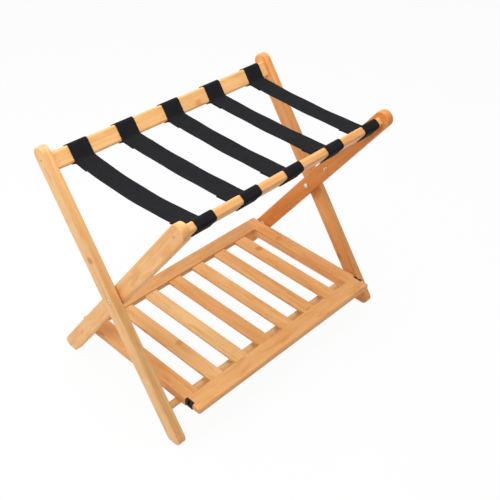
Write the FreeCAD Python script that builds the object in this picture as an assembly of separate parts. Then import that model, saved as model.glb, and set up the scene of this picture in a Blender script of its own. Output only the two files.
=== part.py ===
import FreeCAD, Part
import math
import os

from FreeCAD import Vector

# Folding luggage rack: two crossed frames of flat bars, five webbing straps between the
# top rails and a slatted shelf that hangs on the inner frame and lies on a crossbar.
# Millimetres. X runs along the rack, -Y is the front, +Z is up, the floor is z = 0.

# Overall sizes
overall_length = 680.7
overall_depth = 429.3
overall_height = 571.5

# Legs and where they cross
leg_width = 40.0
leg_thickness = 20.0
leg_edge_round = 2.5
leg_toe_round = 15.0
leg_heel_round = 4.0
pivot_height = 282.0
leg_gap = 1.0

# Top rails and crossbar
rail_width = 40.0
rail_thickness = 20.0
rail_round = 6.0
crossbar_radius = 8.5
crossbar_socket_depth = 12.0
crossbar_gap = 0.3

# Screws and dowels that hold the rails
rail_screw_drop = 10.0
rail_dowel_drop = 28.0
rail_screw_length = 55.0
rail_screw_radius = 2.25
screw_head_radius = 3.8
screw_head_depth = 2.2
screw_head_sink = 0.4
cross_recess_width = 1.0
cross_recess_span = 3.8
cross_recess_depth = 1.0
rail_dowel_radius = 5.0
rail_dowel_length = 40.0
rail_dowel_in_leg = 13.0

# Pivot bolts of the two frames
bolt_radius = 4.0
bolt_head_radius = 5.5
bolt_head_height = 3.6
bolt_head_sink = 0.3
bolt_head_round = 1.2
bolt_shoulder_in_leg = 0.6
hex_socket_flats = 5.0
hex_socket_depth = 2.2
thread_radius = 3.0
spacer_radius = 12.0
nut_washer_radius = 6.5
nut_washer_thickness = 0.6
nut_radius = 5.5
nut_height = 3.0
nut_dome_round = 2.0
nut_wall = 0.9

# Shelf
shelf_side_gap = 4.5
shelf_depth = 401.3
shelf_top = 96.5
shelf_tail = 32.0
shelf_edge_round = 2.0
shelf_corner_round = 5.0
front_rail_width = 44.5
front_rail_thickness = 16.5
front_rail_edge_round = 4.5
back_rail_width = 41.5
back_rail_thickness = 13.0
end_rail_width = 38.0
end_rail_thickness = 22.0
slat_count = 6
slat_width = 38.0
slat_thickness = 8.0
slat_drop = 3.0
slat_edge_round = 1.2
tongue_shoulder = 3.0
tongue_thickness = 4.0
tongue_length = 9.0
mortise_end_room = 1.0
shelf_dowel_radius = 4.0
shelf_dowel_length = 26.0
end_dowel_spacing = 12.0
back_dowel_spacing = 17.0

# Pivot screws that hang the shelf on the inner legs
hanger_radius = 3.25
hanger_head_radius = 4.2
hanger_head_height = 3.5
hanger_head_sink = 0.4
hanger_slot_span = 6.0
hanger_depth = 20.0
hanger_spacer_radius = 8.0

# Catch that holds the shelf when it is folded against the inner legs
catch_width = 23.0
catch_depth = 7.0
catch_floor = 3.6
catch_mouth = 7.0
catch_mouth_depth = 3.0
stud_radius = 2.5
stud_in_leg = 12.0
stud_collar_radius = 3.5
stud_collar_height = 1.2

# Straps: the centre of each strap on the back rail and on the front rail, and its sag
strap_width = 50.0
strap_thickness = 1.8
strap_overlap = 38.0
strap_places = [
    (-252.0, -248.0, 11.5),
    (-126.0, -124.0, 5.0),
    (7.0, 2.0, 5.0),
    (139.0, 133.0, 4.0),
    (275.5, 261.0, 5.0),
]

# Clearances
close_fit = 0.05
running_fit = 0.05
face_gap = 0.2
loose_gap = 0.3

# Lengths below this count as nothing when edges are picked
tiny = 1e-6

# Places along X, worked out on the right-hand side and mirrored for the left
outer_leg_out = overall_length / 2
outer_leg_in = outer_leg_out - leg_thickness
inner_leg_out = outer_leg_in - leg_gap
inner_leg_in = inner_leg_out - leg_thickness
shelf_end = inner_leg_in - shelf_side_gap
end_rail_in = shelf_end - end_rail_width
nut_washer_face = inner_leg_in - face_gap
nut_face = nut_washer_face - nut_washer_thickness

# Lean of the legs, from the pivot to the centre of their round tops
round_radius = leg_width / 2
round_y = overall_depth / 2 - round_radius
round_rise = overall_height - round_radius - pivot_height
round_along = math.hypot(round_y, round_rise)
lean = math.atan2(round_y, round_rise)
LEANS_BACK = 1
LEANS_FRONT = -1

# Heights and depths of the shelf
front_rail_bottom = shelf_top - front_rail_thickness
back_rail_bottom = shelf_top - back_rail_thickness
end_rail_bottom = shelf_top - end_rail_thickness
shelf_middle = shelf_top - front_rail_thickness / 2
back_dowel_height = shelf_top - back_rail_thickness / 2
hanger_along = (shelf_middle - pivot_height) / math.cos(lean)
hanger_y = -hanger_along * math.sin(lean)
shelf_back = hanger_y + shelf_tail
shelf_front = shelf_back - shelf_depth
front_rail_back = shelf_front + front_rail_width
back_rail_front = shelf_back - back_rail_width

# Origin at the middle of the floor under the whole rack
to_origin = Vector(0, -(shelf_front + overall_depth / 2) / 2, 0)

SIDES = (("left", -1), ("right", 1))


def export(node, *solids):
    """Write one node, a solid or a group of separate solids, in the rack's own frame."""
    shape = solids[0] if len(solids) == 1 else Part.makeCompound(list(solids))
    shape.translated(to_origin).exportStep("parts/%s.step" % node)


def on_side(solid, side):
    """A piece modelled on the right, for side -1 mirrored to the left."""
    return solid if side > 0 else solid.mirror(Vector(0, 0, 0), Vector(1, 0, 0))


def on_both_sides(solid):
    return [on_side(solid, side) for name, side in SIDES]


def bore_both_sides(bar, bores):
    for bore in bores:
        bar = bar.cut(on_both_sides(bore))
    return bar


def leg_place(leaning, along, across, x=0.0):
    """A point given along a leg, up from the pivot, and across it, towards its upper edge."""
    y = leaning * (along * math.sin(lean) - across * math.cos(lean))
    z = pivot_height + along * math.cos(lean) + across * math.sin(lean)
    return Vector(x, y, z)


def rounded_wire(corners, place):
    """Closed outline through corners (a, b, radius), each rounded with a tangent arc."""
    starts, middles, ends = [], [], []
    count = len(corners)
    for index, (a, b, radius) in enumerate(corners):
        before = corners[index - 1]
        after = corners[(index + 1) % count]
        to_before = Vector(before[0] - a, before[1] - b, 0).normalize()
        to_after = Vector(after[0] - a, after[1] - b, 0).normalize()
        half_angle = to_before.getAngle(to_after) / 2
        corner = Vector(a, b, 0)
        inward = (to_before + to_after).normalize()
        reach = radius / math.tan(half_angle)
        starts.append(corner + to_before * reach)
        ends.append(corner + to_after * reach)
        middles.append(corner + inward * (radius / math.sin(half_angle) - radius))
    edges = []
    for index in range(count):
        start, middle, end = (place(p.x, p.y) for p in (starts[index], middles[index], ends[index]))
        if start.distanceToPoint(end) > tiny:
            edges.append(Part.Arc(start, middle, end).toShape())
        following = starts[(index + 1) % count]
        following = place(following.x, following.y)
        if end.distanceToPoint(following) > tiny:
            edges.append(Part.LineSegment(end, following).toShape())
    return Part.Wire(edges)


def leg_wire(leaning, corners, x=0.0):
    return rounded_wire(corners, lambda along, across: leg_place(leaning, along, across, x))


def round_outline_edges(plate, radius):
    """Round the edges that lie in a plate's left and right faces."""
    return plate.makeFillet(radius, [e for e in plate.Edges if e.BoundBox.XLength < tiny])


def cylinder_x(radius, x_from, x_to, spot):
    """Cylinder along X at the height and depth of a point."""
    low = min(x_from, x_to)
    return Part.makeCylinder(radius, abs(x_to - x_from), Vector(low, spot.y, spot.z), Vector(1, 0, 0))


def ring_x(outer_radius, inner_radius, x_from, x_to, spot):
    return cylinder_x(outer_radius, x_from, x_to, spot).cut(cylinder_x(inner_radius, x_from, x_to, spot))


def lies_in(edge, axis, place):
    """Whether an edge lies in the plane at a place along an axis."""
    limits = (getattr(edge.BoundBox, axis + end) for end in ("Min", "Max"))
    return all(abs(limit - place) < tiny for limit in limits)


def slab(corners, z_low, z_high, edge_round, joints):
    """Flat board with a rounded outline in plan, its edges rounded but sharp in the planes of its joints."""
    wire = rounded_wire(corners, lambda x, y: Vector(x, y, z_low))
    board = Part.Face(wire).extrude(Vector(0, 0, z_high - z_low))
    outline = [e for e in board.Edges if e.BoundBox.ZLength < tiny]
    free = [e for e in outline if not any(lies_in(e, axis, place) for axis, place in joints)]
    return board.makeFillet(edge_round, free)


def box(x_from, x_to, y_from, y_to, z_from, z_to):
    return Part.makeBox(x_to - x_from, y_to - y_from, z_to - z_from, Vector(x_from, y_from, z_from))


# Points that several pieces share
pivot = leg_place(LEANS_BACK, 0, 0)
hanger = leg_place(LEANS_FRONT, hanger_along, 0)
crossbar_height = end_rail_bottom - crossbar_gap - crossbar_radius
crossbar_along = (crossbar_height - pivot_height) / math.cos(lean)
crossbar = leg_place(LEANS_BACK, crossbar_along, 0)
catch_y = front_rail_back - catch_width / 2
stud = leg_place(LEANS_FRONT, hanger_along + hanger_y - catch_y, 0)
rail_along = round_along - rail_width / 2
rail_middle_y = leg_place(LEANS_BACK, rail_along, 0).y


def rail_screw_spot(leaning):
    return leg_place(leaning, round_along - rail_screw_drop, 0)


def rail_dowel_spot(leaning):
    return leg_place(leaning, round_along - rail_dowel_drop, 0)


def plain_leg(leaning, x_in, x_out):
    """Flat bar with a round top and a foot cut level with the floor, its toe rounded off."""

    def floor_along(across):
        return -(pivot_height + across * math.sin(lean)) / math.cos(lean)

    half = leg_width / 2
    top = round_along + half
    corners = [
        (floor_along(-half), -half, leg_heel_round),
        (floor_along(half), half, leg_toe_round),
        (top, half, half),
        (top, -half, half),
    ]
    bar = Part.Face(leg_wire(leaning, corners, x_in)).extrude(Vector(x_out - x_in, 0, 0))
    bar = round_outline_edges(bar, leg_edge_round)
    screw = rail_screw_spot(leaning)
    bar = bar.cut(screw_hole(x_out, x_in, screw))
    dowel = rail_dowel_spot(leaning)
    return bar.cut(cylinder_x(rail_dowel_radius + close_fit, x_in, x_in + rail_dowel_in_leg, dowel))


def screw_hole(x_out, x_end, spot):
    """Countersunk hole for a rail screw, entered from x_out."""
    head_end = x_out - screw_head_sink - screw_head_depth
    cone = Part.makeCone(
        rail_screw_radius + close_fit,
        screw_head_radius + close_fit,
        screw_head_depth,
        Vector(head_end, spot.y, spot.z),
        Vector(1, 0, 0),
    )
    mouth = cylinder_x(screw_head_radius + close_fit, x_out - screw_head_sink, x_out, spot)
    return cone.fuse([mouth, cylinder_x(rail_screw_radius + close_fit, x_end, head_end, spot)])


def rail_screw(x_out, spot):
    """Countersunk screw with a cross recess, its head just below the face at x_out."""
    head_top = x_out - screw_head_sink
    head = Part.makeCone(
        rail_screw_radius,
        screw_head_radius,
        screw_head_depth,
        Vector(head_top - screw_head_depth, spot.y, spot.z),
        Vector(1, 0, 0),
    )
    shank = cylinder_x(rail_screw_radius, head_top - rail_screw_length, head_top - screw_head_depth, spot)
    half_span = cross_recess_span / 2
    half_width = cross_recess_width / 2
    x_low = head_top - cross_recess_depth
    slots = [
        box(x_low, head_top, spot.y - dy, spot.y + dy, spot.z - dz, spot.z + dz)
        for dy, dz in ((half_span, half_width), (half_width, half_span))
    ]
    return head.fuse(shank).cut(slots[0].fuse(slots[1]))


def outer_leg():
    bar = plain_leg(LEANS_BACK, outer_leg_in, outer_leg_out)
    head_recess = bolt_head_height + bolt_head_sink
    socket_end = outer_leg_in + crossbar_socket_depth
    return bar.cut([
        cylinder_x(bolt_radius + close_fit, outer_leg_in, outer_leg_out, pivot),
        cylinder_x(bolt_head_radius + face_gap, outer_leg_out - head_recess, outer_leg_out, pivot),
        cylinder_x(crossbar_radius + close_fit, outer_leg_in, socket_end, crossbar),
    ])


def inner_leg():
    bar = plain_leg(LEANS_FRONT, inner_leg_in, inner_leg_out)
    head_recess = hanger_head_height + hanger_head_sink + face_gap
    return bar.cut([
        cylinder_x(bolt_radius + running_fit, inner_leg_in, inner_leg_out, pivot),
        cylinder_x(hanger_radius + running_fit, inner_leg_in, inner_leg_out, hanger),
        cylinder_x(hanger_head_radius + loose_gap, inner_leg_out - head_recess, inner_leg_out, hanger),
        cylinder_x(stud_radius + close_fit, inner_leg_in, inner_leg_in + stud_in_leg, stud),
    ])


def rail_corners(grow=0.0):
    """Corners of a top rail's section along and across its legs, grown by a margin all round."""
    half_width = rail_width / 2 + grow
    half_thickness = rail_thickness / 2 + grow
    radius = rail_round + grow
    return [
        (rail_along - half_width, -half_thickness, radius),
        (rail_along - half_width, half_thickness, radius),
        (rail_along + half_width, half_thickness, radius),
        (rail_along + half_width, -half_thickness, radius),
    ]


def top_rail(leaning, half_length, screw_face):
    """Flat rail between two legs, bored at both ends for its screws and dowels."""
    section = Part.Face(leg_wire(leaning, rail_corners(), -half_length))
    rail = section.extrude(Vector(2 * half_length, 0, 0))
    screw_end = screw_face - screw_head_sink - rail_screw_length
    dowel_end = half_length + rail_dowel_in_leg - rail_dowel_length
    bores = [
        cylinder_x(rail_screw_radius + close_fit, screw_end, half_length, rail_screw_spot(leaning)),
        cylinder_x(rail_dowel_radius + close_fit, dowel_end, half_length, rail_dowel_spot(leaning)),
    ]
    return bore_both_sides(rail, bores)


def rail_dowel(leaning, leg_face):
    x_out = leg_face + rail_dowel_in_leg
    return cylinder_x(rail_dowel_radius, x_out - rail_dowel_length, x_out, rail_dowel_spot(leaning))


def pivot_bolt():
    """Recessed round head with a hex socket, plain shank through both legs, thinner threaded end."""
    head_top = outer_leg_out - bolt_head_sink
    head_base = head_top - bolt_head_height
    head = cylinder_x(bolt_head_radius, head_base, head_top, pivot)
    rim = [e for e in head.Edges if e.BoundBox.XLength < tiny and e.BoundBox.XMax > head_top - tiny]
    head = head.makeFillet(bolt_head_round, rim)
    shoulder = inner_leg_in + bolt_shoulder_in_leg
    shank = cylinder_x(bolt_radius, shoulder, head_base, pivot)
    thread_end = nut_face - nut_height + nut_wall + loose_gap
    thread = cylinder_x(thread_radius, thread_end, shoulder, pivot)
    corner_reach = hex_socket_flats / math.sqrt(3)
    points = []
    for step in range(7):
        turn = math.radians(60 * step)
        dy, dz = corner_reach * math.cos(turn), corner_reach * math.sin(turn)
        points.append(Vector(head_top - hex_socket_depth, pivot.y + dy, pivot.z + dz))
    socket = Part.Face(Part.makePolygon(points)).extrude(Vector(hex_socket_depth, 0, 0))
    return head.fuse([shank, thread]).cut(socket)


def cap_nut():
    """Low domed nut, closed at its inner end."""
    tip = nut_face - nut_height
    nut = cylinder_x(nut_radius, tip, nut_face, pivot)
    rim = [e for e in nut.Edges if e.BoundBox.XLength < tiny and e.BoundBox.XMin < tip + tiny]
    nut = nut.makeFillet(nut_dome_round, rim)
    return nut.cut(cylinder_x(thread_radius + close_fit, tip + nut_wall, nut_face, pivot))


# Shelf pieces
slat_top = shelf_top - slat_drop
slat_bottom = slat_top - slat_thickness
tongue_middle = slat_top - slat_thickness / 2
slat_gap = (2 * end_rail_in - slat_count * slat_width) / (slat_count + 1)
slat_pitch = slat_width + slat_gap
slat_centres = [-end_rail_in + slat_gap + slat_width / 2 + slat_pitch * n for n in range(slat_count)]
end_rail_middle = shelf_end - end_rail_width / 2
back_rail_middle = shelf_back - back_rail_width / 2


def mortises(y_from, y_to):
    """Slots for the slats' tongues, a close fit all round."""
    half_width = slat_width / 2 - tongue_shoulder + close_fit
    z_low = tongue_middle - tongue_thickness / 2 - close_fit
    z_high = tongue_middle + tongue_thickness / 2 + close_fit
    return [box(x - half_width, x + half_width, y_from, y_to, z_low, z_high) for x in slat_centres]


def end_dowels(radius):
    """Dowels along Y between a right-hand end rail and the front rail."""
    spots = [end_rail_middle - end_dowel_spacing / 2, end_rail_middle + end_dowel_spacing / 2]
    start = front_rail_back - shelf_dowel_length / 2
    return [
        Part.makeCylinder(radius, shelf_dowel_length, Vector(x, start, shelf_middle), Vector(0, 1, 0))
        for x in spots
    ]


def back_dowels(radius):
    """Dowels along X between a right-hand end rail and the back rail."""
    spots = [back_rail_middle - back_dowel_spacing / 2, back_rail_middle + back_dowel_spacing / 2]
    reach = shelf_dowel_length / 2
    return [
        cylinder_x(radius, end_rail_in - reach, end_rail_in + reach, Vector(0, y, back_dowel_height))
        for y in spots
    ]


def catch_block():
    """Room in the front rail's right-hand end, filled by a catch."""
    y_from = front_rail_back - catch_width
    return box(shelf_end - catch_depth, shelf_end, y_from, front_rail_back, front_rail_bottom, shelf_top)


def shelf_front_rail():
    corners = [
        (-shelf_end, shelf_front, shelf_corner_round),
        (shelf_end, shelf_front, shelf_corner_round),
        (shelf_end, front_rail_back, 0),
        (-shelf_end, front_rail_back, 0),
    ]
    rail = slab(corners, front_rail_bottom, shelf_top, front_rail_edge_round, [("Y", front_rail_back)])
    rail = rail.cut(mortises(front_rail_back - tongue_length - mortise_end_room, front_rail_back))
    return bore_both_sides(rail, end_dowels(shelf_dowel_radius + close_fit) + [catch_block()])


def shelf_back_rail():
    corners = [
        (-end_rail_in, back_rail_front, 0),
        (end_rail_in, back_rail_front, 0),
        (end_rail_in, shelf_back, 0),
        (-end_rail_in, shelf_back, 0),
    ]
    joints = [("Y", back_rail_front), ("X", -end_rail_in), ("X", end_rail_in)]
    rail = slab(corners, back_rail_bottom, shelf_top, shelf_edge_round, joints)
    rail = rail.cut(mortises(back_rail_front, back_rail_front + tongue_length + mortise_end_room))
    return bore_both_sides(rail, back_dowels(shelf_dowel_radius + close_fit))


def shelf_end_rail():
    corners = [
        (end_rail_in, front_rail_back, 0),
        (shelf_end, front_rail_back, 0),
        (shelf_end, shelf_back, shelf_corner_round),
        (end_rail_in, shelf_back, 0),
    ]
    joints = [("Y", front_rail_back), ("X", end_rail_in)]
    rail = slab(corners, end_rail_bottom, shelf_top, shelf_edge_round, joints)
    fit = shelf_dowel_radius + close_fit
    bores = end_dowels(fit) + back_dowels(fit)
    bores.append(cylinder_x(hanger_radius + close_fit, shelf_end - hanger_depth, shelf_end, hanger))
    return rail.cut(bores)


def shelf_slat(x):
    """Thin board between the rails, with a tongue at each end."""
    half = slat_width / 2
    corners = [
        (x - half, front_rail_back, 0),
        (x + half, front_rail_back, 0),
        (x + half, back_rail_front, 0),
        (x - half, back_rail_front, 0),
    ]
    joints = [("Y", front_rail_back), ("Y", back_rail_front)]
    board = slab(corners, slat_bottom, slat_top, slat_edge_round, joints)
    reach = half - tongue_shoulder
    tongue = box(
        x - reach,
        x + reach,
        front_rail_back - tongue_length,
        back_rail_front + tongue_length,
        tongue_middle - tongue_thickness / 2,
        tongue_middle + tongue_thickness / 2,
    )
    return board.fuse(tongue)


def shelf_hanger():
    """Flat-headed pivot screw through an inner leg into an end rail."""
    head_top = inner_leg_out - hanger_head_sink
    head_base = head_top - hanger_head_height
    head = cylinder_x(hanger_head_radius, head_base, head_top, hanger)
    half_span = hanger_slot_span / 2
    slot = box(
        head_top - cross_recess_depth,
        head_top,
        hanger.y - half_span,
        hanger.y + half_span,
        hanger.z - cross_recess_width / 2,
        hanger.z + cross_recess_width / 2,
    )
    return head.fuse(cylinder_x(hanger_radius, shelf_end - hanger_depth, head_base, hanger)).cut(slot)


def shelf_catch():
    """Block let into the shelf's end, with a slot from above that a stud drops into."""
    slot_half = stud_radius + loose_gap
    slot_floor = shelf_end - catch_depth + catch_floor
    mouth_half = catch_mouth / 2
    mouth_low = shelf_top - catch_mouth_depth
    seat = shelf_middle
    outline = [
        Vector(slot_floor, catch_y - slot_half, seat),
        Vector(slot_floor, catch_y - slot_half, mouth_low),
        Vector(slot_floor, catch_y - mouth_half, shelf_top),
        Vector(slot_floor, catch_y + mouth_half, shelf_top),
        Vector(slot_floor, catch_y + slot_half, mouth_low),
        Vector(slot_floor, catch_y + slot_half, seat),
        Vector(slot_floor, catch_y - slot_half, seat),
    ]
    slot = Part.Face(Part.makePolygon(outline)).extrude(Vector(shelf_end - slot_floor, 0, 0))
    round_end = cylinder_x(slot_half, slot_floor, shelf_end, Vector(0, catch_y, seat))
    return catch_block().cut(slot.fuse(round_end))


def catch_stud():
    """Steel pin in an inner leg, with a collar, that stands into the catch of the folded shelf."""
    tip = shelf_end - catch_depth + catch_floor + loose_gap
    collar = cylinder_x(stud_collar_radius, inner_leg_in - stud_collar_height, inner_leg_in, stud)
    return collar.fuse(cylinder_x(stud_radius, tip, inner_leg_in + stud_in_leg, stud))


def strap_web(sag):
    """Section of a strap, looped round both top rails and sewn double beside them, as long as the rack."""
    start_x = -overall_length / 2
    along = Vector(overall_length, 0, 0)
    loop_out = loose_gap + strap_thickness

    def rail_shaped(leaning, grow):
        return Part.Face(leg_wire(leaning, rail_corners(grow), start_x)).extrude(along)

    loops = [
        rail_shaped(leaning, loop_out).cut(rail_shaped(leaning, loose_gap))
        for leaning in (LEANS_BACK, LEANS_FRONT)
    ]
    low_corner_along = rail_along - rail_width / 2 + rail_round
    low_corner = leg_place(LEANS_BACK, low_corner_along, rail_thickness / 2 - rail_round)
    end_y = low_corner.y - rail_round - loose_gap - strap_thickness / 2
    end_z = low_corner.z + strap_thickness / 2

    def layer(depth, y_from, y_to):
        """Band of the sagging web, one thickness deep, its top lying depth below the strap's top."""

        def spot(y, down):
            return Vector(start_x, y, end_z - down - sag * (1 - (y / end_y) ** 2))

        def arc(y_start, y_end, down):
            y_middle = (y_start + y_end) / 2
            return Part.Arc(spot(y_start, down), spot(y_middle, down), spot(y_end, down)).toShape()

        def side(y, down_start, down_end):
            return Part.LineSegment(spot(y, down_start), spot(y, down_end)).toShape()

        low = depth + strap_thickness
        upper = [arc(y_from, y_to, depth), side(y_to, depth, low)]
        lower = [arc(y_to, y_from, low), side(y_from, low, depth)]
        return Part.Face(Part.Wire(upper + lower)).extrude(along)

    inner_end = end_y - strap_overlap
    web = layer(0, -end_y, end_y)
    doubled = [layer(strap_thickness, inner_end, end_y), layer(strap_thickness, -end_y, -inner_end)]
    return web.fuse(loops + doubled).removeSplitter()


def strap(back_x, front_x, sag):
    """One strap, cut from its web along a lane that may run slightly askew."""
    middle_x = (back_x + front_x) / 2
    slant = (back_x - front_x) / (2 * rail_middle_y)
    reach = overall_depth / 2
    half = strap_width / 2
    corners = [(-half, -reach), (half, -reach), (half, reach), (-half, reach), (-half, -reach)]
    plan = [Vector(middle_x + aside + slant * y, y, 0) for aside, y in corners]
    lane = Part.Face(Part.makePolygon(plan)).extrude(Vector(0, 0, overall_height))
    return strap_web(sag).common(lane)


os.makedirs("parts", exist_ok=True)

# Outer frame, whose legs lean back
for name, side in SIDES:
    export("outer_leg_" + name, on_side(outer_leg(), side))
export("back_top_rail", top_rail(LEANS_BACK, outer_leg_in, outer_leg_out))
socket_end = outer_leg_in + crossbar_socket_depth
export("crossbar", cylinder_x(crossbar_radius, -socket_end, socket_end, crossbar))
export("outer_rail_screws", *on_both_sides(rail_screw(outer_leg_out, rail_screw_spot(LEANS_BACK))))
export("outer_rail_dowels", *on_both_sides(rail_dowel(LEANS_BACK, outer_leg_in)))

# Inner frame, whose legs lean to the front
for name, side in SIDES:
    export("inner_leg_" + name, on_side(inner_leg(), side))
export("front_top_rail", top_rail(LEANS_FRONT, inner_leg_in, inner_leg_out))
export("inner_rail_screws", *on_both_sides(rail_screw(inner_leg_out, rail_screw_spot(LEANS_FRONT))))
export("inner_rail_dowels", *on_both_sides(rail_dowel(LEANS_FRONT, inner_leg_in)))
export("catch_studs", *on_both_sides(catch_stud()))

# Pivot hardware
export("pivot_bolts", *on_both_sides(pivot_bolt()))
spacer = ring_x(spacer_radius, bolt_radius + close_fit, inner_leg_out + face_gap, outer_leg_in, pivot)
export("leg_spacers", *on_both_sides(spacer))
nut_washer = ring_x(nut_washer_radius, thread_radius + close_fit, nut_face, nut_washer_face, pivot)
export("nut_washers", *on_both_sides(nut_washer))
export("cap_nuts", *on_both_sides(cap_nut()))

# Shelf
export("shelf_front_rail", shelf_front_rail())
export("shelf_back_rail", shelf_back_rail())
for name, side in SIDES:
    export("shelf_end_rail_" + name, on_side(shelf_end_rail(), side))
for number, centre in enumerate(slat_centres, start=1):
    export("shelf_slat_%d" % number, shelf_slat(centre))
shelf_dowels = end_dowels(shelf_dowel_radius) + back_dowels(shelf_dowel_radius)
export("shelf_dowels", *[on_side(dowel, side) for name, side in SIDES for dowel in shelf_dowels])
export("shelf_pivot_screws", *on_both_sides(shelf_hanger()))
hanger_spacer = ring_x(
    hanger_spacer_radius, hanger_radius + close_fit, shelf_end, inner_leg_in - face_gap, hanger
)
export("shelf_pivot_spacers", *on_both_sides(hanger_spacer))
for name, side in SIDES:
    export("shelf_catch_" + name, on_side(shelf_catch(), side))

# Straps, from the left end to the right
for number, (back_x, front_x, sag) in enumerate(strap_places, start=1):
    export("strap_%d" % number, strap(back_x, front_x, sag))
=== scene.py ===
import math

import bmesh
import bpy
from mathutils import Matrix, Quaternion, Vector


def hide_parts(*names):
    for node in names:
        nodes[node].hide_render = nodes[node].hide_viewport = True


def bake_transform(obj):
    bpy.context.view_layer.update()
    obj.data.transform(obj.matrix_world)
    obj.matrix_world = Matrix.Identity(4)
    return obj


# Folding luggage rack: bamboo frames, black webbing straps and a slatted shelf.
# Metres. X runs along the rack, -Y is the front, +Z is up, the floor is z = 0.
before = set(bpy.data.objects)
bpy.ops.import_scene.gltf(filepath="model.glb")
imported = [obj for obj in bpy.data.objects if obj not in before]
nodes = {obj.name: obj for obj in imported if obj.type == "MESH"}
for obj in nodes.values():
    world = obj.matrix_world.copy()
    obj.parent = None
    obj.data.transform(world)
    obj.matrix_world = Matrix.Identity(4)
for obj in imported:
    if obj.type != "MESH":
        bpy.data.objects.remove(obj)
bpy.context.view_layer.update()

# Where the two frames cross, and the lean of their legs from the upright
pivot_y = 0.007356
pivot_z = 0.282
lean = math.radians(35.839)

# Top rails: section, and distance of its centre from the pivot along the legs
rail_half_width = 0.020
rail_half_thickness = 0.010
rail_round = 0.006
rail_along = 0.31244

# Straps: the webbing, and its middle on the back rail and on the front rail, and its sag
strap_width = 0.050
strap_thickness = 0.0017
strap_edge_round = 0.0005
strap_columns = 10
strap_places = {
    "strap_1": (-0.252, -0.248, 0.0115),
    "strap_2": (-0.126, -0.124, 0.0050),
    "strap_3": (0.007, 0.002, 0.0050),
    "strap_4": (0.139, 0.133, 0.0040),
    "strap_5": (0.2755, 0.261, 0.0050),
}

# Straps: how they lie round the rails, where the two plies part and meet, and how they ease into that
strap_slack = 0.0004
strap_overlap = 0.038
split_length = 0.007
split_reach = 0.005
join_length = 0.011
join_reach = 0.006
ply_drop = 1.05 * strap_thickness
ply_askew = -0.0016

# Straps: points along each stretch of their lines
overlap_steps = 12
bend_steps = 8
ease_steps = 8
span_steps = 40

# Straps: small waves in the middle of the web, with their turns in radians per metre
slump_height = 0.0005
slump_along = 55
slump_across = 40
slump_reach = 0.13

# Stitches that close the loops, in a box on the doubled webbing
stitch_length = 0.0034
stitch_pitch = 0.0046
stitch_width = 0.0009
stitch_height = 0.0006
stitch_box = (0.013, 0.034)
stitch_margin = 0.0045

# Bamboo: strips glued side by side and in layers, the knuckles along a strip, and for each bar
# the steps by which its place in the pattern moves on
strip_width = 0.0194
layer_height = 0.0061
knuckle_spacing = 0.23
knuckle_length = 0.012
knuckle_share_of_strip = 0.75
knuckle_shift = 7.0
knuckle_rarity = 0.68
pattern_steps = (0.173, 0.0291, 0.0417)

# Bamboo: how often each marking changes in a metre, along the grain and across it
DRIFT = (6, 18, 18)
STREAK = (5, 210, 210)
FIBRE = (38, 1900, 1900)
FLUSH = (15, 75, 75)
RAGGED = (90, 160, 160)
pores_per_metre = 1500.0

# Bamboo: the middle tone, how far each marking moves it, and how far warmth takes green and blue away
middle_tone = 0.52
strip_contrast = 0.25
drift_contrast = 0.56
streak_contrast = 0.64
fibre_contrast = 0.36
warm_green = 0.27
warm_blue = 0.52

# Webbing: the pitch of its ribs, of the picks along a rib and of the yarn in its selvedge
rib_pitch = 0.00175
pick_pitch = 0.0030
selvedge_pitch = 0.0016
selvedge_width = 0.0022
selvedge_blur = 0.0003

# Fine grain of the other finishes, in spots per metre
fuzz_per_metre = 3800.0
wander_per_metre = 60.0
thread_per_metre = 4200.0
tarnish_per_metre = 420.0
cloud_per_metre = 90.0
TURNING_MARKS = (9000, 700, 700)

# Light: ambient strength, and for each soft light its place, size and power
rack_middle = Vector((0, 0, 0.3))
ambient_light = 0.37
softboxes = {
    "left": ((-1.1, -0.1, 1.5), 0.9, 6.8),
    "top": ((0.0, 0.0, 1.9), 1.2, 20.8),
    "back_left": ((-1.3, 1.2, 1.2), 1.0, 11.2),
}

# Floor: its reach, how white it is made, and the rays that see it and the surroundings so
floor_reach = 12
white_share = 0.95
WHITE_RAYS = ("Is Camera Ray", "Is Glossy Ray", "Is Transmission Ray")

# Camera: the photograph's viewpoint, angles in degrees, lens and sensor in millimetres
camera_place = (-1.122416, -1.092396, 1.460541)
camera_azimuth = -47.397
camera_elevation = 35.498
camera_roll = 2.152
camera_lens = 60.4252
camera_sensor = 36
camera_shift_x = 0.009876
camera_shift_y = -0.070008

# Colours, linear
BAMBOO_DARK = (0.66, 0.280, 0.080, 1)
BAMBOO_MIDDLE = (0.83, 0.430, 0.160, 1)
BAMBOO_PALE = (0.92, 0.540, 0.235, 1)
BAMBOO_ORANGE = (0.74, 0.315, 0.082, 1)
BAMBOO_KNUCKLE = (0.62, 0.205, 0.042, 1)
BAMBOO_END = (0.50, 0.225, 0.075, 1)
WEBBING_LOW = (0.004, 0.004, 0.0052, 1)
WEBBING_HIGH = (0.022, 0.022, 0.026, 1)
THREAD_LOW = (0.006, 0.006, 0.007, 1)
THREAD_HIGH = (0.034, 0.034, 0.038, 1)
ZINC_BRIGHT = (0.82, 0.76, 0.69, 1)
ZINC_WORN = (0.55, 0.48, 0.41, 1)
BRONZE_BRIGHT = (0.85, 0.56, 0.33, 1)
BRONZE_WORN = (0.66, 0.40, 0.22, 1)
BLACK_LOW = (0.004, 0.004, 0.004, 1)
BLACK_HIGH = (0.014, 0.013, 0.012, 1)
NYLON_LOW = (0.62, 0.59, 0.52, 1)
NYLON_HIGH = (0.76, 0.73, 0.66, 1)
FLOOR_PALE = (0.88, 0.88, 0.88, 1)
WHITE = (1, 1, 1, 1)


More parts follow.
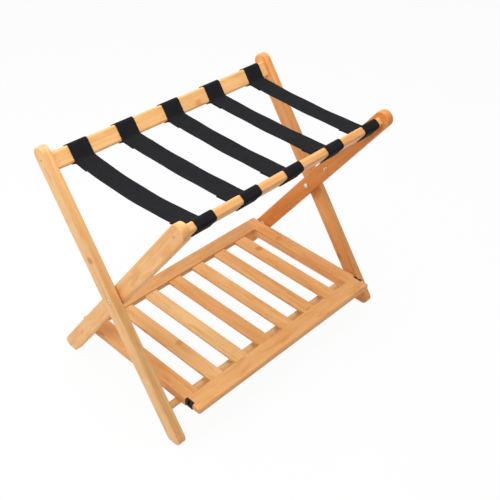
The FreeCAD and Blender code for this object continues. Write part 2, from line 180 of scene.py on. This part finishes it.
class Value:
    """A socket of one node tree, so that an expression on values adds its Math nodes."""

    def __init__(self, owner, socket):
        self.owner = owner
        self.socket = socket

    def math(self, operation, *values):
        return self.owner.node("Math", {"operation": operation}, dict(enumerate(values)))

    def __add__(self, other):
        return self.math("ADD", self, other)

    def __sub__(self, other):
        return self.math("SUBTRACT", self, other)

    def __rsub__(self, other):
        return self.math("SUBTRACT", other, self)

    def __mul__(self, other):
        return self.math("MULTIPLY", self, other)

    def __truediv__(self, other):
        return self.math("DIVIDE", self, other)

    __radd__ = __add__
    __rmul__ = __mul__

    def floor(self):
        return self.math("FLOOR", self)

    def fraction(self):
        return self.math("FRACT", self)

    def size(self):
        return self.math("ABSOLUTE", self)

    def sine(self):
        return self.math("SINE", self)

    def wave(self):
        """A sine that runs from 0 to 1."""
        return self.sine() * 0.5 + 0.5

    def or_more(self, other):
        return self.math("MAXIMUM", self, other)

    def between(self, low, high):
        """Rises smoothly from 0 at low to 1 at high; low may be the larger."""
        if low > high:
            return 1 - self.between(high, low)
        inputs = {"Value": self, "From Min": low, "From Max": high}
        return self.owner.node("MapRange", {"interpolation_type": "SMOOTHSTEP"}, inputs)


class Tree:
    """A node tree, with one way to add any node and short ways to add the usual ones."""

    def __init__(self, tree):
        self.tree = tree

    def feed(self, node, inputs):
        for name, value in inputs.items():
            socket = node.inputs[name.replace("_", " ") if isinstance(name, str) else name]
            if isinstance(value, Value):
                self.tree.links.new(value.socket, socket)
            else:
                socket.default_value = value

    def node(self, kind, settings=None, inputs=None, output=0):
        node = self.tree.nodes.new("ShaderNode" + kind)
        for name, value in (settings or {}).items():
            if name == "stops":
                while len(node.color_ramp.elements) < len(value):
                    node.color_ramp.elements.new(1)
                for element, (place, colour) in zip(node.color_ramp.elements, value):
                    element.position = place
                    element.color = colour
            else:
                setattr(node, name, value)
        self.feed(node, inputs or {})
        return Value(self, node.outputs[output])

    def place(self):
        return self.node("TexCoord", output="Object")

    def attribute(self, name):
        return self.node("Attribute", {"attribute_name": name}, output="Fac")

    def parts(self, vector):
        """The three numbers of a vector."""
        first = self.node("SeparateXYZ", inputs={"Vector": vector})
        return [Value(self, socket) for socket in first.socket.node.outputs]

    def stretched(self, vector, scale):
        return self.node("VectorMath", {"operation": "MULTIPLY"}, {0: vector, 1: scale})

    def noise(self, vector, scale=1.0, detail=2.0):
        inputs = {"Vector": vector, "Scale": scale, "Detail": detail}
        return self.node("TexNoise", {"noise_dimensions": "3D"}, inputs)

    def chance(self, first, second):
        """A random number for each pair of whole numbers."""
        pair = self.node("CombineXYZ", inputs={"X": first, "Y": second})
        return self.node("TexWhiteNoise", {"noise_dimensions": "3D"}, {"Vector": pair})

    def mix(self, share, first, second):
        """Two colours mixed, all of the second where share is 1."""
        settings = {"data_type": "RGBA"}
        return self.node("Mix", settings, {0: share, 6: first, 7: second}, output=2)

    def bump(self, height, strength, distance):
        inputs = {"Height": height, "Strength": strength, "Distance": distance}
        return self.node("Bump", inputs=inputs)

    def white_rays(self):
        """1 for the camera's and mirrored rays, 0 for the rays that light the object."""
        camera, glossy, transmission = (self.node("LightPath", output=ray) for ray in WHITE_RAYS)
        return camera.or_more(glossy.or_more(transmission))


class Surface(Tree):
    """One material: a Principled shader and the nodes that feed it."""

    def __init__(self, name, **constants):
        self.material = bpy.data.materials.new(name)
        self.material.use_nodes = True
        super().__init__(self.material.node_tree)
        self.shader = self.tree.nodes["Principled BSDF"]
        self.feed(self.shader, constants)

    def finish(self, **inputs):
        self.feed(self.shader, inputs)
        return self.material


def bamboo(name, grain_turn, start, warmth_and_painted_light, darkness_and_painted_shade):
    """Lacquered bamboo, glued up from narrow strips that run along the pattern's X.

    Warmth shifts the whole bar from honey, at 0, to amber, at 1, or to straw, below 0.
    Depth is the share of light that it takes away, and below 0 the bar is paler.
    Both are partly the bar's own tone and partly painted light and shade: painted light
    makes the near left legs paler, and painted shade makes the far right legs darker and amber.
    """
    surface = Surface(name, Coat_Weight=0.08, Coat_Roughness=0.28, Specular_IOR_Level=0.28)
    turned = surface.node("Mapping", {}, {
        "Vector": surface.place(), "Rotation": grain_turn, "Location": start})
    along, wide, thick = surface.parts(turned)

    # Painted light and shade: warmth and depth make a bar paler where light falls on it and darker amber
    # where it stands in shade, besides its own tone
    def toned_with_painted_light(colour):
        red, green, blue, alpha = colour
        kept = 1 - darkness_and_painted_shade
        kept_green = kept * (1 - warm_green * warmth_and_painted_light)
        kept_blue = kept * (1 - warm_blue * warmth_and_painted_light)
        return (red * kept, green * kept_green, blue * kept_blue, alpha)

    def marking(changes, detail=2.0):
        return surface.noise(surface.stretched(turned, changes), detail=detail)

    # Tone of the strips and of the grain in them
    strip = (wide / strip_width).floor()
    layer = (thick / layer_height).floor()
    strip_tone = surface.chance(strip, layer)
    drift = marking(DRIFT)
    streak = marking(STREAK, detail=3.0)
    fibre = marking(FIBRE)
    tone = (
        middle_tone
        + strip_contrast * (strip_tone - 0.5)
        + drift_contrast * (drift - 0.5)
        + streak_contrast * (streak - 0.5)
        + fibre_contrast * (fibre - 0.5)
    )
    stops = [(0.12, toned_with_painted_light(BAMBOO_DARK)), (0.5, toned_with_painted_light(BAMBOO_MIDDLE)), (0.9, toned_with_painted_light(BAMBOO_PALE))]
    colour = surface.node("ValToRGB", {"stops": stops}, {"Fac": tone})

    # Orange patches, and the glue lines between strips
    flush = marking(FLUSH).between(0.47, 0.72)
    colour = surface.mix(0.72 * flush, colour, toned_with_painted_light(BAMBOO_ORANGE))
    across_strip = (wide / strip_width).fraction() - 0.5
    glue_line = across_strip.size().between(0.482, 0.5)
    colour = surface.mix(0.16 * glue_line, colour, BAMBOO_DARK)

    # Knuckles: on some strips a ragged spot with a thin ring across it
    shifted = along / knuckle_spacing + strip_tone * knuckle_shift
    ragged = marking(RAGGED) - 0.5
    along_strip = (shifted.fraction() - 0.5) * knuckle_spacing
    from_ring = (along_strip + knuckle_length * ragged) / knuckle_length
    from_middle = (across_strip + 0.5 * ragged) / knuckle_share_of_strip
    shown = surface.chance(strip, shifted.floor()).between(knuckle_rarity, 1.0)
    spot = (from_ring * from_ring + from_middle * from_middle).between(1.0, 0.0) * shown
    ring = from_ring.size().between(0.17, 0.03) * shown
    colour = surface.mix(0.80 * spot + 0.10 * ring, colour, BAMBOO_KNUCKLE)

    # End grain, with its pores
    facing = surface.node("Mapping", {"vector_type": "NORMAL"}, {
        "Vector": surface.node("TexCoord", output="Normal"), "Rotation": grain_turn})
    end_grain = surface.parts(facing)[0].size().between(0.80, 0.98)
    pores = surface.noise(turned, pores_per_metre, 1.0).between(0.5, 0.68)
    colour = surface.mix(end_grain * (0.25 + 0.30 * pores), colour, BAMBOO_END)

    height = fibre * 0.7 + streak * 0.3 - 0.5 * glue_line
    return surface.finish(
        Base_Color=colour,
        Roughness=0.38 + 0.16 * fibre + 0.08 * spot,
        Normal=surface.bump(height, 0.14, 0.0004),
    )


def webbing(name):
    """Black webbing: ribs along the strap with staggered picks, and a plain selvedge at both sides."""
    surface = Surface(name, Specular_IOR_Level=0.06)
    along = surface.attribute("along")
    across = surface.attribute("across")
    place = surface.place()
    fuzz = surface.noise(place, fuzz_per_metre)
    wander = surface.noise(place, wander_per_metre)

    # Every second rib has its picks half a pitch on
    row = across / rib_pitch
    stagger = 0.5 * (row * 0.5).fraction().between(0.49, 0.51)
    yarn = (row * math.pi).sine().size()
    twist = ((along / pick_pitch + stagger) * (2 * math.pi)).wave()
    cloth = yarn * (0.45 + 0.55 * twist)

    selvedge = strap_width / 2 - selvedge_width
    edge = across.size().between(selvedge - selvedge_blur, selvedge + selvedge_blur)
    edge_yarn = (along * (2 * math.pi / selvedge_pitch)).wave()
    height = cloth * (1 - edge) + (0.35 + 0.4 * edge_yarn) * edge
    share = 0.62 * height + 0.30 * fuzz + 0.30 * (wander - 0.5)
    return surface.finish(
        Base_Color=surface.mix(share, WEBBING_LOW, WEBBING_HIGH),
        Roughness=0.86 - 0.22 * height,
        Normal=surface.bump(height + 0.25 * fuzz, 0.75, 0.0005),
    )


def thread(name):
    """Black sewing thread."""
    surface = Surface(name, Specular_IOR_Level=0.15)
    fluff = surface.noise(surface.place(), thread_per_metre)
    return surface.finish(
        Base_Color=surface.mix(fluff, THREAD_LOW, THREAD_HIGH),
        Roughness=0.55 + 0.2 * fluff,
        Normal=surface.bump(fluff, 0.5, 0.0003),
    )


def metal(name, bright, worn, roughness):
    """Plated metal with fine turning marks round X and a little tarnish."""
    surface = Surface(name, Metallic=1.0)
    place = surface.place()
    tarnish = surface.noise(place, tarnish_per_metre, 3.0)
    marks = surface.noise(surface.stretched(place, TURNING_MARKS))
    share = 0.7 * tarnish.between(0.42, 0.72)
    return surface.finish(
        Base_Color=surface.mix(share, bright, worn),
        Roughness=roughness + 0.18 * (marks - 0.5) + 0.12 * share,
        Normal=surface.bump(marks, 0.12, 0.0002),
    )


def moulded(name, low, high, roughness, spark_size):
    """Moulded plastic with a fine spark-eroded grain."""
    surface = Surface(name, Specular_IOR_Level=0.25)
    place = surface.place()
    spark = surface.noise(place, 1 / spark_size)
    cloud = surface.noise(place, cloud_per_metre)
    return surface.finish(
        Base_Color=surface.mix(0.5 * spark + 0.5 * cloud, low, high),
        Roughness=roughness + 0.16 * (spark - 0.5),
        Normal=surface.bump(spark, 0.22, 0.0003),
    )


def wear(piece, material):
    piece.data.materials.clear()
    piece.data.materials.append(material)


def grain(along, wide):
    """The turn that lays the pattern's X along a bar and its Y across the bar's wide face."""
    along, wide = Vector(along), Vector(wide)
    return Matrix((along, wide, along.cross(wide))).to_euler()


# Bamboo on every bar: its grain along the bar, its place in the pattern, its warmth and its depth, which
# carry painted light and shade as well as the bar's own tone
UP_BACK = (0, math.sin(lean), math.cos(lean))
UP_FRONT = (0, -math.sin(lean), math.cos(lean))
back_leaning_leg = grain(UP_BACK, (0, -math.cos(lean), math.sin(lean)))
front_leaning_leg = grain(UP_FRONT, (0, math.cos(lean), math.sin(lean)))
along_shelf = grain((1, 0, 0), (0, 1, 0))
across_shelf = grain((0, 1, 0), (-1, 0, 0))
bars = {
    # Painted light makes the near left legs paler; painted shade makes the far right legs darker and
    # more amber
    "outer_leg_left": (back_leaning_leg, 0, -0.31, 0.01),
    "outer_leg_right": (back_leaning_leg, 24, 0.52, 0.04),
    "inner_leg_left": (front_leaning_leg, 2, -0.15, -0.03),
    "inner_leg_right": (front_leaning_leg, 72, 1.01, 0.08),
    "back_top_rail": (grain((1, 0, 0), UP_BACK), 4, -0.35, 0.01),
    "front_top_rail": (grain((1, 0, 0), UP_FRONT), 5, -0.06, 0.03),
    "crossbar": (along_shelf, 190, -0.74, 0.02),
    "shelf_front_rail": (along_shelf, 53, 0.22, 0.01),
    "shelf_back_rail": (along_shelf, 100, 0.17, 0.06),
    "shelf_end_rail_left": (across_shelf, 193, 0.36, 0.05),
    "shelf_end_rail_right": (across_shelf, 171, 0.35, -0.03),
    "shelf_slat_1": (across_shelf, 172, -0.17, -0.03),
    "shelf_slat_2": (across_shelf, 35, -0.36, -0.03),
    "shelf_slat_3": (across_shelf, 174, 0.17, -0.03),
    "shelf_slat_4": (across_shelf, 14, 0.08, -0.03),
    "shelf_slat_5": (across_shelf, 107, 0.23, 0.02),
    "shelf_slat_6": (across_shelf, 200, 0.18, -0.05),
    "outer_rail_dowels": (along_shelf, 17, 0.0, 0.0),
    "inner_rail_dowels": (along_shelf, 18, 0.0, 0.0),
    "shelf_dowels": (along_shelf, 19, 0.0, 0.0),
}
for bar, (turn, place, warmth_and_painted_light, darkness_and_painted_shade) in bars.items():
    start = [step * place for step in pattern_steps]
    wear(nodes[bar], bamboo("bamboo_" + bar, turn, start, warmth_and_painted_light, darkness_and_painted_shade))

# Fasteners, catches and spacers
zinc = metal("zinc_plate", ZINC_BRIGHT, ZINC_WORN, roughness=0.34)
bronze = metal("bronzed_screw", BRONZE_BRIGHT, BRONZE_WORN, roughness=0.46)
black_plastic = moulded("black_plastic", BLACK_LOW, BLACK_HIGH, roughness=0.50, spark_size=0.0006)
nylon = moulded("nylon", NYLON_LOW, NYLON_HIGH, roughness=0.46, spark_size=0.0009)
fittings = {
    "pivot_bolts": zinc,
    "nut_washers": zinc,
    "cap_nuts": zinc,
    "catch_studs": zinc,
    "outer_rail_screws": bronze,
    "inner_rail_screws": bronze,
    "shelf_pivot_screws": bronze,
    "shelf_catch_left": black_plastic,
    "shelf_catch_right": black_plastic,
    "leg_spacers": nylon,
    "shelf_pivot_spacers": nylon,
}
for fitting, material in fittings.items():
    wear(nodes[fitting], material)


def on_rail(along, across):
    """A point of the back rail's section as (y from the pivot, z)."""
    y = along * math.sin(lean) - across * math.cos(lean)
    z = pivot_z + along * math.cos(lean) + across * math.sin(lean)
    return Vector((y, z))


def heading(degrees):
    """A direction in the back rail's section, turned from up the leg towards its front face."""
    turn = math.radians(degrees)
    return on_rail(math.cos(turn), math.sin(turn)) - on_rail(0, 0)


def eased(start, start_way, end, end_way, reach):
    """Points of a curve that leaves start and arrives at end in the given directions."""
    handles = (start, start + start_way * reach, end - end_way * reach, end)
    points = []
    for step in range(1, ease_steps):
        there = step / ease_steps
        left = 1 - there
        weights = (left ** 3, 3 * there * left ** 2, 3 * there ** 2 * left, there ** 3)
        weighted = (handle * weight for handle, weight in zip(handles, weights))
        points.append(sum(weighted, Vector((0, 0))))
    return points


# The straps' bends round a rail: their radius, the rail's two bends, and where the web starts
bend_radius = rail_round + strap_slack + strap_thickness / 2
bend_across = rail_half_thickness - rail_round
low_bend = rail_along - rail_half_width + rail_round
high_bend = rail_along + rail_half_width - rail_round
web_end = on_rail(low_bend, bend_across) - Vector((bend_radius, 0))


def web_point(sag, y, down=0.0):
    """Point of the web, which hangs in a shallow curve, as (y, z), or of what lies under it."""
    return Vector((y, web_end.y - sag * (1 - (y / web_end.x) ** 2) - down))


def strap_half(sag):
    """Centre line of a strap's back half: its free end under the web, round the rail, to mid-span."""

    def web_way(y):
        return Vector((1, 2 * sag * y / web_end.x ** 2)).normalized()

    def round_bend(along, across, turn_from, turn_to):
        centre = on_rail(along, across)
        turns = [turn_from + (turn_to - turn_from) * step / bend_steps for step in range(bend_steps + 1)]
        return [centre + heading(turn) * bend_radius for turn in turns]

    free_end = web_end.x - strap_overlap
    split = web_end.x - split_length
    join = web_end.x - join_length
    under = [web_point(sag, free_end + (split - free_end) * step / overlap_steps, ply_drop)
             for step in range(overlap_steps + 1)]
    behind = round_bend(low_bend, -bend_across, 200, 270)
    over = round_bend(high_bend, -bend_across, 270, 360) + round_bend(high_bend, bend_across, 360, 450)
    front = [on_rail(along, bend_across) + heading(90) * bend_radius for along in (rail_along, low_bend)]
    span = [web_point(sag, join * (1 - step / span_steps)) for step in range(span_steps + 1)]
    return (
        under
        + eased(under[-1], web_way(split), behind[0], heading(290), split_reach)
        + behind
        + over
        + front
        + eased(front[-1], heading(180), span[0], -web_way(join), join_reach)
        + span
    )


def strap_line(sag):
    """Centre line of a whole strap as (y, z), with the distance along it."""
    half = strap_half(sag)
    line = half + [Vector((-point.x, point.y)) for point in reversed(half[:-1])]
    along = [0.0]
    for before, after in zip(line, line[1:]):
        along.append(along[-1] + (after - before).length)
    return line, along


def lane(name):
    """Middle of a strap across the rack as a function of y from the pivot."""
    back_x, front_x = strap_places[name][:2]
    slant = (back_x - front_x) / (2 * on_rail(rail_along, 0).x)
    return lambda y: (back_x + front_x) / 2 + slant * y


def new_piece(name, bm, material):
    mesh = bpy.data.meshes.new(name)
    bm.to_mesh(mesh)
    bm.free()
    mesh.materials.append(material)
    mesh.shade_smooth()
    piece = bpy.data.objects.new(name, mesh)
    bpy.context.scene.collection.objects.link(piece)
    return piece


def settle(piece):
    """Keep the mesh that a piece's modifiers make, without the modifiers."""
    depsgraph = bpy.context.evaluated_depsgraph_get()
    made = piece.evaluated_get(depsgraph)
    piece.data = bpy.data.meshes.new_from_object(
        made, preserve_all_data_layers=True, depsgraph=depsgraph)
    piece.modifiers.clear()


def make_strap(name, material):
    """One length of webbing, laid along its line and given its thickness and soft edges."""
    sag = strap_places[name][2]
    line, distance = strap_line(sag)
    middle_x = lane(name)
    last = len(line) - 1
    bm = bmesh.new()
    bmesh.ops.create_grid(bm, x_segments=last, y_segments=strap_columns, size=1)
    along_layer = bm.verts.layers.float.new("along")
    across_layer = bm.verts.layers.float.new("across")
    for vert in bm.verts:
        number = round((vert.co.x + 1) / 2 * last)
        across = vert.co.y * strap_width / 2
        y, z = line[number]
        from_end = min(distance[number], distance[-1] - distance[number])
        aside = ply_askew * max(0.0, 1 - from_end / (2 * strap_overlap))
        slump = 0.0
        if abs(y) < slump_reach:
            slump = slump_height * math.sin(slump_along * y + slump_across * across)
        vert[along_layer] = distance[number]
        vert[across_layer] = across
        vert.co = (middle_x(y) + across + aside, pivot_y + y, z + slump)
    piece = new_piece(name + "_webbing", bm, material)
    body = piece.modifiers.new("thickness", "SOLIDIFY")
    body.thickness = strap_thickness
    body.offset = 0
    edge = piece.modifiers.new("soft edge", "BEVEL")
    edge.width = strap_edge_round
    edge.segments = 2
    edge.limit_method = "ANGLE"
    edge.angle_limit = math.radians(60)
    settle(piece)
    return piece, distance[-1]


def make_stitches(name, material):
    """Boxes of stitches through the doubled webbing at both ends of a strap, on its two faces."""
    sag = strap_places[name][2]
    middle_x = lane(name)
    half_box = strap_width / 2 - stitch_margin
    near, far = (web_end.x - reach for reach in stitch_box)
    top = strap_thickness / 2
    underside = -ply_drop - strap_thickness / 2

    def row(length):
        count = round(length / stitch_pitch)
        return [(number + 0.5) / count - 0.5 for number in range(count)]

    spots = [(share * 2 * half_box, y, 0) for y in (near, far) for share in row(2 * half_box)]
    middle_y = (near + far) / 2
    spots += [(x, middle_y + share * (near - far), math.pi / 2)
              for x in (-half_box, half_box) for share in row(near - far)]
    shape = Matrix.Diagonal((stitch_length, stitch_width, stitch_height, 1))
    bm = bmesh.new()
    for side in (1, -1):
        for x, y, turn in spots:
            y = side * y
            for height in (top, underside):
                spot = Vector((middle_x(y) + x, pivot_y + y, web_point(sag, y).y + height))
                place = Matrix.Translation(spot) @ Matrix.Rotation(turn, 4, "Z") @ shape
                bmesh.ops.create_uvsphere(bm, u_segments=8, v_segments=5, radius=0.5, matrix=place)
    return new_piece(name + "_stitches", bm, material)


webbing_black = webbing("webbing")
thread_black = thread("thread")
for strap in strap_places:
    piece, length = make_strap(strap, webbing_black)
    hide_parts(strap)
    stitches = make_stitches(strap, thread_black)
    for part in (piece, stitches):
        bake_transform(part)


# Floor, light and camera
def make_floor():
    """Pale floor, seen as nearly white, that keeps a faint shadow."""
    bm = bmesh.new()
    bmesh.ops.create_grid(bm, x_segments=1, y_segments=1, size=floor_reach)
    surface = Surface("floor", Base_Color=FLOOR_PALE, Roughness=0.9, Specular_IOR_Level=0.1)
    lit = Value(surface, surface.shader.outputs[0])
    white = surface.node("Emission")
    seen = surface.white_rays() * white_share
    both = surface.node("MixShader", inputs={0: seen, 1: lit, 2: white})
    surface.feed(surface.tree.nodes["Material Output"], {"Surface": both})
    new_piece("floor", bm, surface.material)


def make_world():
    """Even studio light, seen as plain white by the camera and in reflections."""
    world = bpy.data.worlds.new("studio")
    world.use_nodes = True
    studio = Tree(world.node_tree)
    inputs = {"Value": studio.white_rays(), "To Min": ambient_light}
    strength = studio.node("MapRange", inputs=inputs)
    studio.feed(studio.tree.nodes["Background"], {"Color": WHITE, "Strength": strength})
    bpy.context.scene.world = world


def make_softbox(name, place, size, power):
    """Square soft light, turned to the middle of the rack."""
    light = bpy.data.lights.new(name, "AREA")
    light.energy = power
    light.size = size
    lamp = bpy.data.objects.new(name, light)
    lamp.location = place
    lamp.rotation_mode = "QUATERNION"
    lamp.rotation_quaternion = (Vector(place) - rack_middle).to_track_quat("Z", "Y")
    bpy.context.scene.collection.objects.link(lamp)


def make_camera():
    """The photograph's viewpoint."""
    angles = (camera_azimuth, camera_elevation, camera_roll)
    azimuth, elevation, roll = (math.radians(angle) for angle in angles)
    data = bpy.data.cameras.new("camera")
    data.sensor_width = camera_sensor
    data.lens = camera_lens
    data.shift_x = camera_shift_x
    data.shift_y = camera_shift_y
    camera = bpy.data.objects.new("camera", data)
    level = math.cos(elevation)
    back = Vector((math.sin(azimuth) * level, -math.cos(azimuth) * level, math.sin(elevation)))
    camera.location = camera_place
    camera.rotation_mode = "QUATERNION"
    camera.rotation_quaternion = (-back).to_track_quat("-Z", "Y") @ Quaternion((0, 0, 1), roll)
    bpy.context.scene.collection.objects.link(camera)
    bpy.context.scene.camera = camera


make_floor()
make_world()
for name, (place, size, power) in softboxes.items():
    make_softbox(name, place, size, power)
make_camera()
bpy.context.scene.view_settings.view_transform = "Standard"
